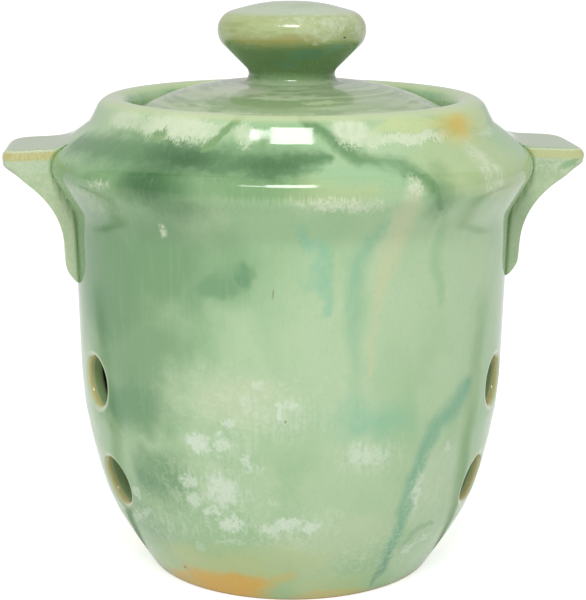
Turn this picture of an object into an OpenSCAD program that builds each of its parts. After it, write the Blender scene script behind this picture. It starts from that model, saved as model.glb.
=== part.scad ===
// Onion pot: a glazed stoneware jar with a lift-off lid, two lug handles and vent holes.
// It stands on its foot at z = 0, with the axis of the pot on Z and the lugs along X.

/* [Pot body] */
// Diameter of the foot, where the pot stands
foot_d = 112; // [106:1:118]
// Diameter of the wall just below the shoulder band
wall_d = 168.6; // [165:0.2:172]
// Diameter of the shoulder band, measured at its corner before it is rounded
band_d = 191; // [187:1:195]
// Height of the shoulder band's corner
band_h = 161; // [158:1:163]
// Diameter at the foot of the lip, where it rises from the shoulder band
collar_d = 155.5; // [153:0.5:158]
// Height of the foot of the lip
collar_h = 174.3; // [173:0.1:176]
// Diameter of the lip at its crest, measured at its outer corner before it is rounded
lip_d = 145.4; // [143:0.2:148]
// Height of the lip's crest
lip_h = 184; // [182:0.5:186]
// Thickness of the thrown wall
wall_t = 6.5; // [5:0.5:7.5]
// Thickness of the floor
floor_t = 8; // [6:0.5:10]
// Width of the ring that the pot stands on
foot_ring_w = 9; // [6:1:14]
// Depth of the turned hollow inside that ring
foot_hollow = 1.5; // [1:0.5:3]

/* [Lid seat] */
// Diameter of the recess in the lip that holds the lid
seat_d = 125; // [123:0.5:127]
// Height of the ledge that the lid rests on
seat_h = 172; // [170:0.5:173]
// Diameter of the mouth, inside the ledge
mouth_d = 113; // [108:1:116]

/* [Lid] */
// Gap all round between the lid's edge and its recess
lid_gap = 1; // [0.5:0.1:1.5]
// Height of the flat pad on top of the lid, where the knob is stuck on
pad_h = 189; // [187:0.5:191]
// Height of the lid's rounded shoulder, where the dome meets its edge
lid_edge_h = 177.3; // [176:0.1:179]
// Thickness of the lid at its middle
lid_t = 6.5; // [5:0.5:8]

/* [Knob] */
// Diameter of the knob
knob_d = 56.8; // [54:0.2:59]
// Diameter of the knob's neck at its narrowest
knob_neck_d = 33.2; // [31:0.2:35]
// Diameter of the knob's flared base
knob_base_d = 41; // [40:0.5:44]
// Height of the top of the knob
knob_h = 219.5; // [217:0.5:222]

/* [Lug handles] */
// Distance from the pot's axis to the tip of the left lug
left_reach = 110.3; // [107:0.1:113]
// Distance from the pot's axis to the tip of the right lug
right_reach = 112.6; // [109:0.1:115]
// Width of a lug, front to back
lug_w = 36; // [30:1:40]
// Height of a lug's top where it leaves the shoulder band
lug_top_h = 167.1; // [165:0.1:168]
// How far the top of a lug slopes down on its way to the tip
lug_droop = 1.1; // [0:0.1:2]
// Height of the lower end of a lug
lug_end_h = 111.5; // [108:0.5:118]
// Thickness of a lug at its tip
lug_tip_t = 6.4; // [5.5:0.1:7.5]
// How far the lower part of a lug stands out from the wall
lug_proud = 4.5; // [3.5:0.1:5.5]

/* [Vent holes] */
// Diameter of a vent hole
vent_d = 18.5; // [14:0.5:20]
// Height of the upper row of vents
vent_upper_h = 79.3; // [74:0.1:84]
// Height of the lower row of vents
vent_lower_h = 40.2; // [36:0.1:44]
// Angle from the lug's axis to the upper vents on each side of it
vent_upper_turn = 23.5; // [20:0.5:28]
// Angle from the lug's axis to the lower vents on each side of it
vent_lower_turn = 26.5; // [22:0.5:30]
// How much higher the vents on the left sit than those on the right
vent_rise = 1.6; // [0:0.1:4]
// Width of the softened edge round each vent
vent_edge = 1.2; // [0.6:0.1:1.8]

/* [Hidden] */
$fn = 72;

// Turn of one step along a rounded corner, in degrees
arc_step = 5;
// Length that cuts run past the clay, so that no face is left thin
past = 4;

foot_r = foot_d / 2;
wall_r = wall_d / 2;
band_r = band_d / 2;
collar_r = collar_d / 2;
lip_r = lip_d / 2;
seat_r = seat_d / 2;
mouth_r = mouth_d / 2;
lid_r = seat_r - lid_gap;
lip_w = lip_r - seat_r;
knob_r = knob_d / 2;
waist_h = band_h - 20;

// The wall follows two bends: one low on the belly and one high on it
low_bend = [wall_r - 11, 27];
high_bend = [wall_r - 2, 65];
// Radius of the curve from the knob's neck out to its base
neck_curve = 3.2;

// Outline of the outside, as corners: radius, height and rounding
outer_corners = [
    [0, 0, 0],
    [foot_r, 0, 1.5],
    [low_bend.x, low_bend.y, 80],
    [high_bend.x, high_bend.y, 130],
    [wall_r, waist_h, 15],
    [band_r, band_h, 8.5],
    [collar_r, collar_h, 5],
    [lip_r, lip_h, 0.7 * lip_w],
    [seat_r, lip_h, 0.52 * lip_w],
    [seat_r, seat_h, 0]
];

// Outline of the inside, from the seat down to the floor
inner_corners = [
    [seat_r, seat_h, 0],
    [mouth_r, seat_h, 1.2],
    [mouth_r, seat_h - wall_t, 1.5],
    [seat_r + 8.25, seat_h - wall_t + 0.3, 10],
    [band_r - 1.35 * wall_t, band_h - 2.2, 5],
    [wall_r - wall_t, waist_h + 1, 15],
    [high_bend.x - wall_t, high_bend.y + 1, 124],
    [low_bend.x - wall_t - 1, low_bend.y + 4, 60],
    [foot_r - wall_t + 3, floor_t, 9],
    [0, floor_t, 0]
];

// Outline of the lid: dome, edge, flat underside of the rim and hollow underneath
lid_corners = [
    [0, pad_h, 0],
    [43, pad_h, 78],
    [lid_r, lid_edge_h, 2],
    [lid_r, seat_h, 1],
    [mouth_r - 2.5, seat_h, 1],
    [mouth_r - 6, pad_h - lid_t - 5, 6],
    [36, pad_h - lid_t, 60],
    [0, pad_h - lid_t, 0]
];

// Outline of the knob: base, curve up the neck, underside, side and gently domed top
knob_corners = [
    [0, pad_h, 0],
    [knob_base_d / 2, pad_h, 0],
    [knob_neck_d / 2 - 1.3 * neck_curve, pad_h + 0.5, neck_curve],
    [knob_r, knob_h - 14.3, 8],
    [knob_r, knob_h - 5, 7.4],
    [10.2, knob_h, 55],
    [0, knob_h, 0]
];

// Side view of a lug: sloping top, blunt tip, hollowed underside and a foot that runs into the wall
lug_root = wall_r - 16;
lug_tip_h = lug_top_h - lug_droop;
function lug_side(reach) = [
    [lug_root, lug_top_h, 0],
    [wall_r, lug_top_h, 0],
    [reach, lug_tip_h, 3.8],
    [reach, lug_tip_h - lug_tip_t, 2.3],
    [wall_r + lug_proud, lug_top_h - 20, 32],
    [wall_r + lug_proud - 0.7, lug_end_h + 8, 5],
    [wall_r - 4, lug_end_h, 0],
    [lug_root, lug_end_h, 0]
];

// Where the vents are: height, angle from the lug, distance of the wall from the axis and its lean
vent_rows = [
    [vent_upper_h, vent_upper_turn, wall_r - 1.6, 1.5],
    [vent_lower_h, vent_lower_turn, wall_r - 7.9, 17]
];

function unit(v) = v / norm(v);
function flat(p) = [p[0], p[1]];

// Shortest turn from angle a to angle b
function turn(a, b) = (b - a + 540) % 360 - 180;

// Points along the arc that rounds corner b, whose neighbours are a and c
function bend(a, b, c) =
    let (u = unit(flat(a) - flat(b)))
    let (v = unit(flat(c) - flat(b)))
    let (half = acos(u * v) / 2)
    let (centre = flat(b) + unit(u + v) * b[2] / sin(half))
    let (first = flat(b) + u * b[2] / tan(half) - centre)
    let (last = flat(b) + v * b[2] / tan(half) - centre)
    let (start = atan2(first.y, first.x))
    let (sweep = turn(start, atan2(last.y, last.x)))
    let (steps = ceil(abs(sweep) / arc_step))
    [for (i = [0:steps])
        let (t = start + sweep * i / steps)
        centre + b[2] * [cos(t), sin(t)]];

// An outline with each corner rounded by the radius given with it
function rounded(corners) =
    let (last = len(corners) - 1)
    [for (i = [0:last])
        let (b = corners[i])
        let (plain = i == 0 || i == last || b[2] == 0)
        each plain ? [flat(b)] : bend(corners[i - 1], b, corners[i + 1])];

// The pot as if it were solid clay up to the lid's seat
module outer_form() {
    rotate_extrude() polygon(concat(rounded(outer_corners), [[0, seat_h]]));
}

// One vent: a straight bore square to the wall, with a softened edge outside
module vent(h, turned, wall_at, lean) {
    edge_r = vent_d / 2 + vent_edge;
    rotate([0, 0, turned]) translate([wall_at, 0, h]) rotate([0, 90 + lean, 0]) {
        cylinder(d = vent_d, h = 4 * wall_t, center = true);
        translate([0, 0, -vent_edge]) cylinder(r1 = vent_d / 2, r2 = edge_r, h = vent_edge);
        cylinder(r = edge_r, h = past);
    }
}

// The vents on one side of the pot, in front of the lug and behind it
module vents(side_turn, lift) {
    for (row = vent_rows) {
        for (way = [-1, 1]) {
            vent(row[0] + lift, side_turn + way * row[1], row[2], row[3]);
        }
    }
}

module pot_body() {
    color([0.57, 0.73, 0.57]) difference() {
        rotate_extrude() polygon(concat(rounded(outer_corners), rounded(inner_corners)));
        translate([0, 0, -past]) cylinder(r = foot_r - foot_ring_w, h = past + foot_hollow);
        vents(0, -vent_rise / 2);
        vents(180, vent_rise / 2);
    }
}

// One lug on +X: its side view and its rounded plan, cut to sit against the pot
module lug_handle(reach) {
    plan_r = 6;
    difference() {
        intersection() {
            rotate([90, 0, 0]) linear_extrude(lug_w, center = true) polygon(rounded(lug_side(reach)));
            linear_extrude(lug_top_h + past) polygon(rounded([
                [lug_root, -lug_w / 2, 0],
                [reach, -lug_w / 2, plan_r],
                [reach, lug_w / 2, plan_r],
                [lug_root, lug_w / 2, 0]
            ]));
        }
        outer_form();
    }
}

module right_lug_handle() {
    color([0.66, 0.76, 0.56]) lug_handle(right_reach);
}

module left_lug_handle() {
    color([0.66, 0.76, 0.56]) mirror([1, 0, 0]) lug_handle(left_reach);
}

module lid() {
    color([0.60, 0.70, 0.54]) rotate_extrude() polygon(rounded(lid_corners));
}

module lid_knob() {
    color([0.52, 0.68, 0.50]) rotate_extrude() polygon(rounded(knob_corners));
}

pot_body();
left_lug_handle();
right_lug_handle();
lid();
lid_knob();
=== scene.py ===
import math

import bpy
from mathutils import Matrix, Vector, noise


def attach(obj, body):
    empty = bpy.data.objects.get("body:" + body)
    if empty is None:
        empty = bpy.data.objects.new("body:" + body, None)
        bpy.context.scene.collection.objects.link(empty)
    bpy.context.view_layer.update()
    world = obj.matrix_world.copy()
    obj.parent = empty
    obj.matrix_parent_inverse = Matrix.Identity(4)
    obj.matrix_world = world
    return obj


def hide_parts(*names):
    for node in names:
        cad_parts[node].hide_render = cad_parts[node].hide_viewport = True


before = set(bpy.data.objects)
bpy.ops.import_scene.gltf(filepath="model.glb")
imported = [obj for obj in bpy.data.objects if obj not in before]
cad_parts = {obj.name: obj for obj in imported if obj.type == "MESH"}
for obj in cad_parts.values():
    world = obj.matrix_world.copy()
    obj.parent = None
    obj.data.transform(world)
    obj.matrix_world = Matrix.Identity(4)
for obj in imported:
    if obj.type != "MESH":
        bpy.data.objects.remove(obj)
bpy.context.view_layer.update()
scene = bpy.context.scene


# The pot body is one thrown wall of stoneware with its foot, belly, shoulder band, lip and lid ledge.
# Eight air vents are punched through it while the clay is soft and their edges wiped round, and then
# the whole is coated with a runny green glaze that breaks to ochre where it is thin.
MM = 0.001
FOOT_R = 56.0
FOOT_RING = 9.0
FOOT_HOLLOW = 1.5
WALL_R = 84.3
WALL = 6.5
FLOOR_Z = 8.0
BAND_R = 95.5
BAND_Z = 161.0
COLLAR_R = 77.75
COLLAR_Z = 174.3
LIP_R = 72.7
LIP_Z = 184.0
SEAT_R = 62.5
SEAT_Z = 172.0
MOUTH_R = 56.5
POT_COLUMNS = 128
POT_GAP = 4.2

# radius, height and rounding of each corner, from the foot's hollow up to the lip and down inside
POT_CORNERS = [
    (0, FOOT_HOLLOW, 0), (FOOT_R - FOOT_RING - 1, FOOT_HOLLOW, 0.5), (FOOT_R - FOOT_RING + 0.2, 0, 0.8),
    (FOOT_R, 0, 1.7), (WALL_R - 11, 27, 80), (WALL_R - 2, 65, 130), (WALL_R, BAND_Z - 20, 15),
    (BAND_R, BAND_Z, 8.5), (COLLAR_R, COLLAR_Z, 5), (LIP_R, LIP_Z, 7.1), (SEAT_R + 0.1, LIP_Z, 5.3),
    (SEAT_R, SEAT_Z, 0.6), (MOUTH_R, SEAT_Z, 1.2), (MOUTH_R, SEAT_Z - WALL, 1.5),
    (SEAT_R + 8.25, SEAT_Z - WALL + 0.3, 10), (BAND_R - 1.35 * WALL, BAND_Z - 2.2, 5),
    (WALL_R - WALL, BAND_Z - 19, 15), (WALL_R - WALL - 2, 66, 124), (WALL_R - WALL - 12, 31, 60),
    (FOOT_R - WALL + 3, FLOOR_Z, 9), (0, FLOOR_Z, 0),
]


def rounded(corners, turn=7.5):
    """The outline through corners of (radius, height, rounding), with arcs at the rounded ones."""
    outline = []
    for i, (x, z, r) in enumerate(corners):
        b = Vector((x, z))
        if r == 0 or i in (0, len(corners) - 1):
            outline.append(b)
            continue
        to_a = (Vector(corners[i - 1][:2]) - b).normalized()
        to_c = (Vector(corners[i + 1][:2]) - b).normalized()
        half = to_a.angle(to_c) / 2
        centre = b + (to_a + to_c).normalized() * r / math.sin(half)
        first = b + to_a * r / math.tan(half) - centre
        last = b + to_c * r / math.tan(half) - centre
        start = math.atan2(first.y, first.x)
        sweep = math.atan2(last.y, last.x) - start
        sweep = (sweep + math.pi) % (2 * math.pi) - math.pi
        steps = max(2, math.ceil(abs(math.degrees(sweep)) / turn))
        for k in range(steps + 1):
            t = start + sweep * k / steps
            outline.append(centre + Vector((math.cos(t), math.sin(t))) * r)
    return outline


def spaced(outline, gap):
    """The same outline with points added, so that no two neighbours lie further apart than gap."""
    points = [outline[0]]
    for a, b in zip(outline, outline[1:]):
        length = (b - a).length
        if length < 0.05:
            continue
        steps = math.ceil(length / gap)
        points += [a.lerp(b, k / steps) for k in range(1, steps + 1)]
    return points


def add_piece(name, verts, faces, subdivisions=1):
    """A smooth mesh object from points in millimetres."""
    mesh = bpy.data.meshes.new(name)
    mesh.from_pydata([tuple(c * MM for c in v) for v in verts], [], faces)
    mesh.validate()
    mesh.polygons.foreach_set("use_smooth", [True] * len(mesh.polygons))
    piece = bpy.data.objects.new(name, mesh)
    scene.collection.objects.link(piece)
    if subdivisions:
        smooth = piece.modifiers.new("smooth", "SUBSURF")
        smooth.levels = smooth.render_levels = subdivisions
    return piece


def turned(points, columns, wobble=None, skip=()):
    """Points, faces and rows of points of an outline turned on the wheel, first point to last."""
    verts, faces, rows = [], [], []
    for i, p in enumerate(points):
        if p.x < 0.01:
            rows.append([len(verts)] * columns)
            verts.append(Vector((0, 0, p.y)))
            continue
        rows.append(list(range(len(verts), len(verts) + columns)))
        for j in range(columns):
            a = 2 * math.pi * j / columns
            r = p.x - (wobble(a, p.y) if wobble else 0)
            verts.append(Vector((r * math.cos(a), r * math.sin(a), p.y)))
    for i in range(len(points) - 1):
        for j in range(columns):
            if (i, j) in skip:
                continue
            k = (j + 1) % columns
            quad = [rows[i][j], rows[i][k], rows[i + 1][k], rows[i + 1][j]]
            faces.append([v for n, v in enumerate(quad) if v not in quad[:n]])
    return verts, faces, rows


pot_outline = spaced(rounded(POT_CORNERS), POT_GAP)
seat_corner = Vector((SEAT_R, SEAT_Z))
ledge = min(range(len(pot_outline)), key=lambda i: (pot_outline[i] - seat_corner).length)
# the outside of the wall starts at the foot ring, past the hollow under it
outer_wall = [p for p in pot_outline[:ledge] if p.y > FOOT_HOLLOW * 2 or p.x > FOOT_R - 6]
inner_wall = pot_outline[ledge:]


def wall_radius(outline, z):
    """Radius of one side of the wall at height z on the belly."""
    best = None
    for a, b in zip(outline, outline[1:]):
        if min(a.y, b.y) <= z <= max(a.y, b.y) and max(a.y, b.y) > min(a.y, b.y):
            r = a.x + (b.x - a.x) * (z - a.y) / (b.y - a.y)
            if best is None or r > best:
                best = r
    return best


REACH = 14.0
HALVINGS = 30


def on_wall(point, along, outline):
    """Where the line through point along a vent's axis meets that side of the wall."""
    low, high = -REACH, REACH
    for _ in range(HALVINGS):
        t = (low + high) / 2
        p = point + along * t
        if math.hypot(p.x, p.y) > wall_radius(outline, p.z):
            high = t
        else:
            low = t
    return point + along * t


# height, angle from the lug, distance of the wall from the axis and its lean
VENT_ROWS = [(79.3, 23.5, WALL_R - 1.6, 1.5), (40.2, 26.5, WALL_R - 7.9, 17.0)]
VENT_CELLS = 8
VENT_FIRST_COLUMN = 5
VENT_R = 9.25
VENT_EDGE_R = 2.3
VENT_INNER_EDGE_R = 1.2
VENT_MARGIN = 0.6
VENT_RISE = 0.8
VENTED_R = 55
VENTED_FROM_Z = 12
VENTED_TO_Z = 150
vents = []
for lug_turn, lift in ((0, -VENT_RISE), (180, VENT_RISE)):
    for height, turned_by, wall_at, lean in VENT_ROWS:
        for way in (-1, 1):
            a = math.radians(lug_turn + way * turned_by)
            t = math.radians(lean)
            out = Vector((math.cos(a), math.sin(a), 0))
            axis = out * math.cos(t) - Vector((0, 0, math.sin(t)))
            across = Vector((-math.sin(a), math.cos(a), 0))
            up = axis.cross(across)
            centre = out * wall_at + Vector((0, 0, height + lift))
            first = VENT_FIRST_COLUMN if way > 0 else -VENT_FIRST_COLUMN - VENT_CELLS
            column = (first + (POT_COLUMNS // 2 if lug_turn else 0)) % POT_COLUMNS
            vents.append((centre, axis, across, up, column))

# find the rows that each vent's block of cells takes on both sides of the wall
blocks, skipped = [], set()
for centre, axis, across, up, column in vents:
    sides = []
    for outline, start, stop in ((outer_wall, 0, ledge), (inner_wall, ledge, len(pot_outline))):
        middle = on_wall(centre, axis, outline)
        rows = []
        for i in range(start, stop):
            if VENTED_FROM_Z < pot_outline[i].y < VENTED_TO_Z and pot_outline[i].x > VENTED_R:
                rows.append(i)
        nearest = min(rows, key=lambda i: abs(pot_outline[i].y - middle.z))
        first = nearest - VENT_CELLS // 2
        sides.append((outline, first))
        for i in range(first, first + VENT_CELLS):
            for j in range(VENT_CELLS):
                skipped.add((i, (column + j) % POT_COLUMNS))
    blocks.append(sides)


RING_DEPTH = 0.05
WANDER_DEPTH = 0.10


def thrown(angle, z):
    """How far the wall stands back from true: faint throwing rings and a slow wander."""
    ring = 0.5 + 0.5 * math.sin(z * 0.9 + 1.3 * math.sin(z * 0.21) + 0.35 * math.sin(angle))
    wander = noise.noise(Vector((math.cos(angle), math.sin(angle), z * 0.02)) * 1.1)
    return RING_DEPTH * ring + WANDER_DEPTH * (0.5 + wander)


verts, faces, rows = turned(pot_outline, POT_COLUMNS, thrown, skipped)
# how far in from the outside each point lies: 1 on a vent's edge, 2 in its bore, 3 inside the pot
inward = [0.0] * len(verts)
for row in rows[ledge:]:
    for v in row:
        inward[v] = 3.0

for (centre, axis, across, up, column), sides in zip(vents, blocks):
    bore_ends = []
    for side, (outline, first) in enumerate(sides):
        loop = [(first, j) for j in range(VENT_CELLS)]
        loop += [(first + i, VENT_CELLS) for i in range(VENT_CELLS)]
        loop += [(first + VENT_CELLS, VENT_CELLS - j) for j in range(VENT_CELLS)]
        loop += [(first + VENT_CELLS - i, 0) for i in range(VENT_CELLS)]
        rim = [rows[i][(column + j) % POT_COLUMNS] for i, j in loop]
        # the direction from the vent's middle to each point of the rim, evened out
        at = [verts[v] - centre for v in rim]
        turn = [math.atan2(p.dot(up), p.dot(across)) for p in at]
        way = 1 if (turn[1] - turn[0]) % (2 * math.pi) < math.pi else -1
        even = [turn[0] + way * 2 * math.pi * k / len(rim) for k in range(len(rim))]
        off = sum(math.remainder(t - e, 2 * math.pi) for t, e in zip(turn, even)) / len(rim)
        even = [e + off for e in even]

        def ring(reach, depth, depth_in, pull=0.0):
            """A ring of points round the vent's axis, depth into the wall from its surface."""
            ids = []
            for k, t in enumerate(even):
                flat = centre + (across * math.cos(t) + up * math.sin(t)) * reach
                p = on_wall(flat, axis, outline) - axis * depth * (1 if side == 0 else -1)
                if pull:
                    p = p.lerp(verts[rim[k]], pull)
                    q = Vector((p.x, p.y, 0)).normalized() * wall_radius(outline, p.z)
                    p = Vector((q.x, q.y, p.z))
                ids.append(len(verts))
                verts.append(p)
                inward.append(depth_in)
            return ids

        edge = VENT_EDGE_R if side == 0 else VENT_INNER_EDGE_R
        flat_in, bore_in = (0.0, 1.0) if side == 0 else (3.0, 2.5)
        outermost = VENT_R + edge + VENT_MARGIN
        rings = [rim, ring(outermost, 0, flat_in, 0.5), ring(outermost, 0, flat_in)]
        for turned_in in (0, 22, 45, 67, 90):
            t = math.radians(turned_in)
            share = flat_in + (bore_in - flat_in) * (0.1 + 0.9 * turned_in / 90)
            rings.append(ring(VENT_R + edge * (1 - math.sin(t)), edge * (1 - math.cos(t)), share))
        for a, b in zip(rings, rings[1:]):
            for k in range(len(rim)):
                m = (k + 1) % len(rim)
                faces.append([a[k], a[m], b[m], b[k]])
        bore_ends.append((rings[-1], even))
    # join the two ends of the bore, turning the inner ring to start at the same place
    (outer_ring, even_o), (inner_ring, even_i) = bore_ends
    count = len(outer_ring)
    order = []
    for t in even_o:
        order.append(min(range(count), key=lambda m: abs(math.remainder(even_i[m] - t, 2 * math.pi))))
    middle = []
    for k in range(count):
        middle.append(len(verts))
        verts.append((verts[outer_ring[k]] + verts[inner_ring[order[k]]]) / 2)
        inward.append(2.0)
    for a, b in ((outer_ring, middle), (middle, [inner_ring[n] for n in order])):
        for k in range(count):
            m = (k + 1) % count
            faces.append([a[k], a[m], b[m], b[k]])

pot = add_piece("glazed_pot", verts, faces)
pot.data.attributes.new("inward", "FLOAT", "POINT").data.foreach_set("value", inward)
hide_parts("pot_body")
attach(pot, "pot")

# The glaze is poured, so it lies in runs, clouds and curdled patches. Each is placed here, in
# degrees round the pot from its front and millimetres up it, and frayed by noise as a glaze is.
ROUND_MM = 1.4


def srgb(colour):
    """A colour written as six hex digits, as the linear light that sockets take."""
    parts = [int(colour[i:i + 2], 16) / 255 for i in (0, 2, 4)]
    return [c / 12.92 if c <= 0.04045 else ((c + 0.055) / 1.055) ** 2.4 for c in parts] + [1.0]


def tree_of(*values):
    """The node tree of the first socket among values."""
    return next(v.id_data for v in values if isinstance(v, bpy.types.NodeSocket))


def feed(socket, value):
    """Link a socket to another node's output, or set it."""
    if isinstance(value, bpy.types.NodeSocket):
        socket.id_data.links.new(value, socket)
    else:
        socket.default_value = value


def calc(operation, *values):
    """A Math node."""
    node = tree_of(*values).nodes.new("ShaderNodeMath")
    node.operation = operation
    for socket, value in zip(node.inputs, values):
        feed(socket, value)
    return node.outputs["Value"]


def times(first, *others):
    """The product of a socket and other values."""
    for other in others:
        first = calc("MULTIPLY", first, other)
    return first


def vector(operation, *values):
    """A Vector Math node."""
    node = tree_of(*values).nodes.new("ShaderNodeVectorMath")
    node.operation = operation
    for socket, value in zip(node.inputs, values):
        feed(socket, value)
    return node.outputs["Value" if operation in ("DOT_PRODUCT", "LENGTH", "DISTANCE") else "Vector"]


def scaled(value, factor):
    """A vector times a number."""
    node = tree_of(value).nodes.new("ShaderNodeVectorMath")
    node.operation = "SCALE"
    feed(node.inputs["Vector"], value)
    feed(node.inputs["Scale"], factor)
    return node.outputs["Vector"]


def step(value, low, high, to_low=0.0, to_high=1.0):
    """A value eased from to_low to to_high as it goes from low to high."""
    node = tree_of(value).nodes.new("ShaderNodeMapRange")
    node.interpolation_type = "SMOOTHSTEP"
    node.clamp = False
    feed(node.inputs["Value"], value)
    for name, given in (("From Min", low), ("From Max", high), ("To Min", to_low), ("To Max", to_high)):
        feed(node.inputs[name], given)
    return node.outputs["Result"]


def noise_at(point, scale, detail=2.0, rough=0.5, distortion=0.0):
    """A Noise Texture node at a point in millimetres; scale is in features a millimetre."""
    node = tree_of(point).nodes.new("ShaderNodeTexNoise")
    feed(node.inputs["Vector"], point)
    settings = {"Scale": scale, "Detail": detail, "Roughness": rough, "Distortion": distortion}
    for name, given in settings.items():
        feed(node.inputs[name], given)
    return node.outputs


def tint(under, over, *amounts):
    """One colour laid over another, by the product of amounts from 0 to 1."""
    amount = times(*amounts)
    node = tree_of(amount).nodes.new("ShaderNodeMix")
    node.data_type = "RGBA"
    feed(node.inputs["Factor"], amount)
    feed(node.inputs[6], srgb(under) if isinstance(under, str) else under)
    feed(node.inputs[7], srgb(over) if isinstance(over, str) else over)
    return node.outputs[2]


def joined(x, y, z=0.0):
    """Three numbers as one vector."""
    node = tree_of(x, y, z).nodes.new("ShaderNodeCombineXYZ")
    for socket, value in zip(node.inputs, (x, y, z)):
        feed(socket, value)
    return node.outputs["Vector"]


def parted(value):
    """A vector as its three numbers."""
    node = tree_of(value).nodes.new("ShaderNodeSeparateXYZ")
    feed(node.inputs["Vector"], value)
    return node.outputs


def carried(material, name):
    """A number that the mesh carries at each of its points."""
    node = material.node_tree.nodes.new("ShaderNodeAttribute")
    node.attribute_name = name
    return node.outputs["Fac"]


def turn_from_front(x, y):
    """The turn round the pot's axis from its front, in radians."""
    return calc("ARCTAN2", x, times(y, -1.0))


def new_group(name, inputs, outputs):
    """A shader node group with named sockets: an input without a usual value is a vector."""
    tree = bpy.data.node_groups.new(name, "ShaderNodeTree")
    for label, value in inputs.items():
        kind = "Vector" if value is None else "Float"
        socket = tree.interface.new_socket(label, in_out="INPUT", socket_type="NodeSocket" + kind)
        if value is not None:
            socket.default_value = value
    for label, kind in outputs.items():
        tree.interface.new_socket(label, in_out="OUTPUT", socket_type="NodeSocket" + kind)
    given = tree.nodes.new("NodeGroupInput").outputs
    result = tree.nodes.new("NodeGroupOutput").inputs
    return tree, given, result


def use(tree, group, **values):
    """Place a group in a tree; an underscore in a value's name stands for a space in the socket's."""
    node = tree.nodes.new("ShaderNodeGroup")
    node.node_tree = group
    for name, value in values.items():
        feed(node.inputs[name.replace("_", " ")], value)
    return node.outputs


# where a point is: its millimetres, and its place on the glaze laid out flat
place_group, given, result = new_group(
    "place on the clay", {"Round": ROUND_MM},
    {"Point": "Vector", "Place": "Vector", "Plan": "Vector", "Front": "Vector", "Around": "Float",
     "Height": "Float", "Radius": "Float"})
here = place_group.nodes.new("ShaderNodeTexCoord").outputs["Object"]
point = scaled(here, 1 / MM)
x, y, z = parted(point)
around = times(turn_from_front(x, y), math.degrees(1))
radius = vector("LENGTH", joined(x, y))
along = times(around, given["Round"])
feed(result["Point"], point)
feed(result["Place"], joined(along, z))
feed(result["Plan"], joined(along, radius))
feed(result["Front"], joined(x, z))
feed(result["Around"], around)
feed(result["Height"], z)
feed(result["Radius"], radius)

# a place drifted by the run of the glaze: a slow wander, a fine fraying and a vertical combing
drift_group, given, result = new_group(
    "glaze drift", {"Point": None, "Place": None, "Wander": 3, "Fraying": 1, "Combing": 0},
    {"Place": "Vector"})
half = (0.5, 0.5, 0.5)
slow = vector("SUBTRACT", noise_at(given["Point"], 0.075)["Color"], half)
fine = vector("SUBTRACT", noise_at(given["Point"], 0.34, 3)["Color"], half)
combed = vector("MULTIPLY", given["Point"], (1, 1, 0.05))
teeth = calc("SUBTRACT", noise_at(combed, 1.25, 2)["Fac"], 0.5)
place = vector("ADD", given["Place"], scaled(slow, given["Wander"]))
place = vector("ADD", place, scaled(fine, given["Fraying"]))
lift = joined(0, times(teeth, given["Combing"]))
feed(result["Place"], vector("ADD", place, lift))

# one stretch of a run of glaze, from one place to another, added to what is there already
run_group, given, result = new_group(
    "glaze run", {"Over": 0, "Place": None, "From": None, "To": None, "Width": 2, "End width": 2,
                  "Softness": 0.5}, {"Amount": "Float"})
reach = vector("SUBTRACT", given["To"], given["From"])
gone = vector("SUBTRACT", given["Place"], given["From"])
share = calc("DIVIDE", vector("DOT_PRODUCT", gone, reach),
             vector("DOT_PRODUCT", reach, reach))
share = calc("MAXIMUM", calc("MINIMUM", share, 1), 0)
away = vector("DISTANCE", gone, scaled(reach, share))
growth = calc("SUBTRACT", given["End width"], given["Width"])
width = calc("MULTIPLY_ADD", growth, share, given["Width"])
ratio = calc("DIVIDE", away, width)
outer_edge = calc("ADD", 1, given["Softness"])
inner_edge = calc("SUBTRACT", 1, given["Softness"])
amount = step(ratio, outer_edge, inner_edge)
feed(result["Amount"], calc("MAXIMUM", given["Over"], amount))

# one cloud or patch of glaze, a softened ellipse, added to what is there already; Across and Up point
# along its two half widths, and their lengths are one over them
cloud_group, given, result = new_group(
    "glaze cloud", {"Over": 0, "Place": None, "Middle": None, "Across": None, "Up": None, "Softness": 0.5,
                    "Strength": 1}, {"Amount": "Float"})
gone = vector("SUBTRACT", given["Place"], given["Middle"])
across = vector("DOT_PRODUCT", gone, given["Across"])
up = vector("DOT_PRODUCT", gone, given["Up"])
away = vector("LENGTH", joined(across, up))
outer_edge = calc("ADD", 1, given["Softness"])
inner_edge = calc("SUBTRACT", 1, given["Softness"])
amount = step(away, outer_edge, inner_edge, 0, given["Strength"])
feed(result["Amount"], calc("MAXIMUM", given["Over"], amount))

# the glaze's own grain: clouding all through it, fine streaks that ran down, curdled lace and pits
grain_group, given, result = new_group(
    "glaze grain", {"Point": None},
    dict.fromkeys(("Cloud", "Vein", "Streak", "Lace", "Mottle", "Peel"), "Float"))
point = given["Point"]
wander = scaled(vector("SUBTRACT", noise_at(point, 0.03, 1)["Color"], half), 22)
bent = vector("ADD", point, wander)
stretched = vector("MULTIPLY", bent, (1, 1, 0.45))
feed(result["Cloud"], noise_at(stretched, 0.032, 3, 0.55)["Fac"])
veins = noise_at(vector("MULTIPLY", bent, (1, 1, 0.22)), 0.05, 2, 0.45)["Fac"]
ridge = calc("ABSOLUTE", calc("SUBTRACT", veins, 0.5))
feed(result["Vein"], step(ridge, 0.035, 0))
streaks = vector("MULTIPLY", point, (1, 1, 0.07))
feed(result["Streak"], noise_at(streaks, 0.55, 2, 0.6)["Fac"])
feed(result["Lace"], noise_at(point, 0.30, 4, 0.62, 1.6)["Fac"])
mottle = noise_at(vector("MULTIPLY", point, (1, 1, 0.6)), 0.9, 3, 0.6)["Fac"]
feed(result["Mottle"], mottle)
feed(result["Peel"], noise_at(point, 0.28, 2, 0.4)["Fac"])


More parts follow.
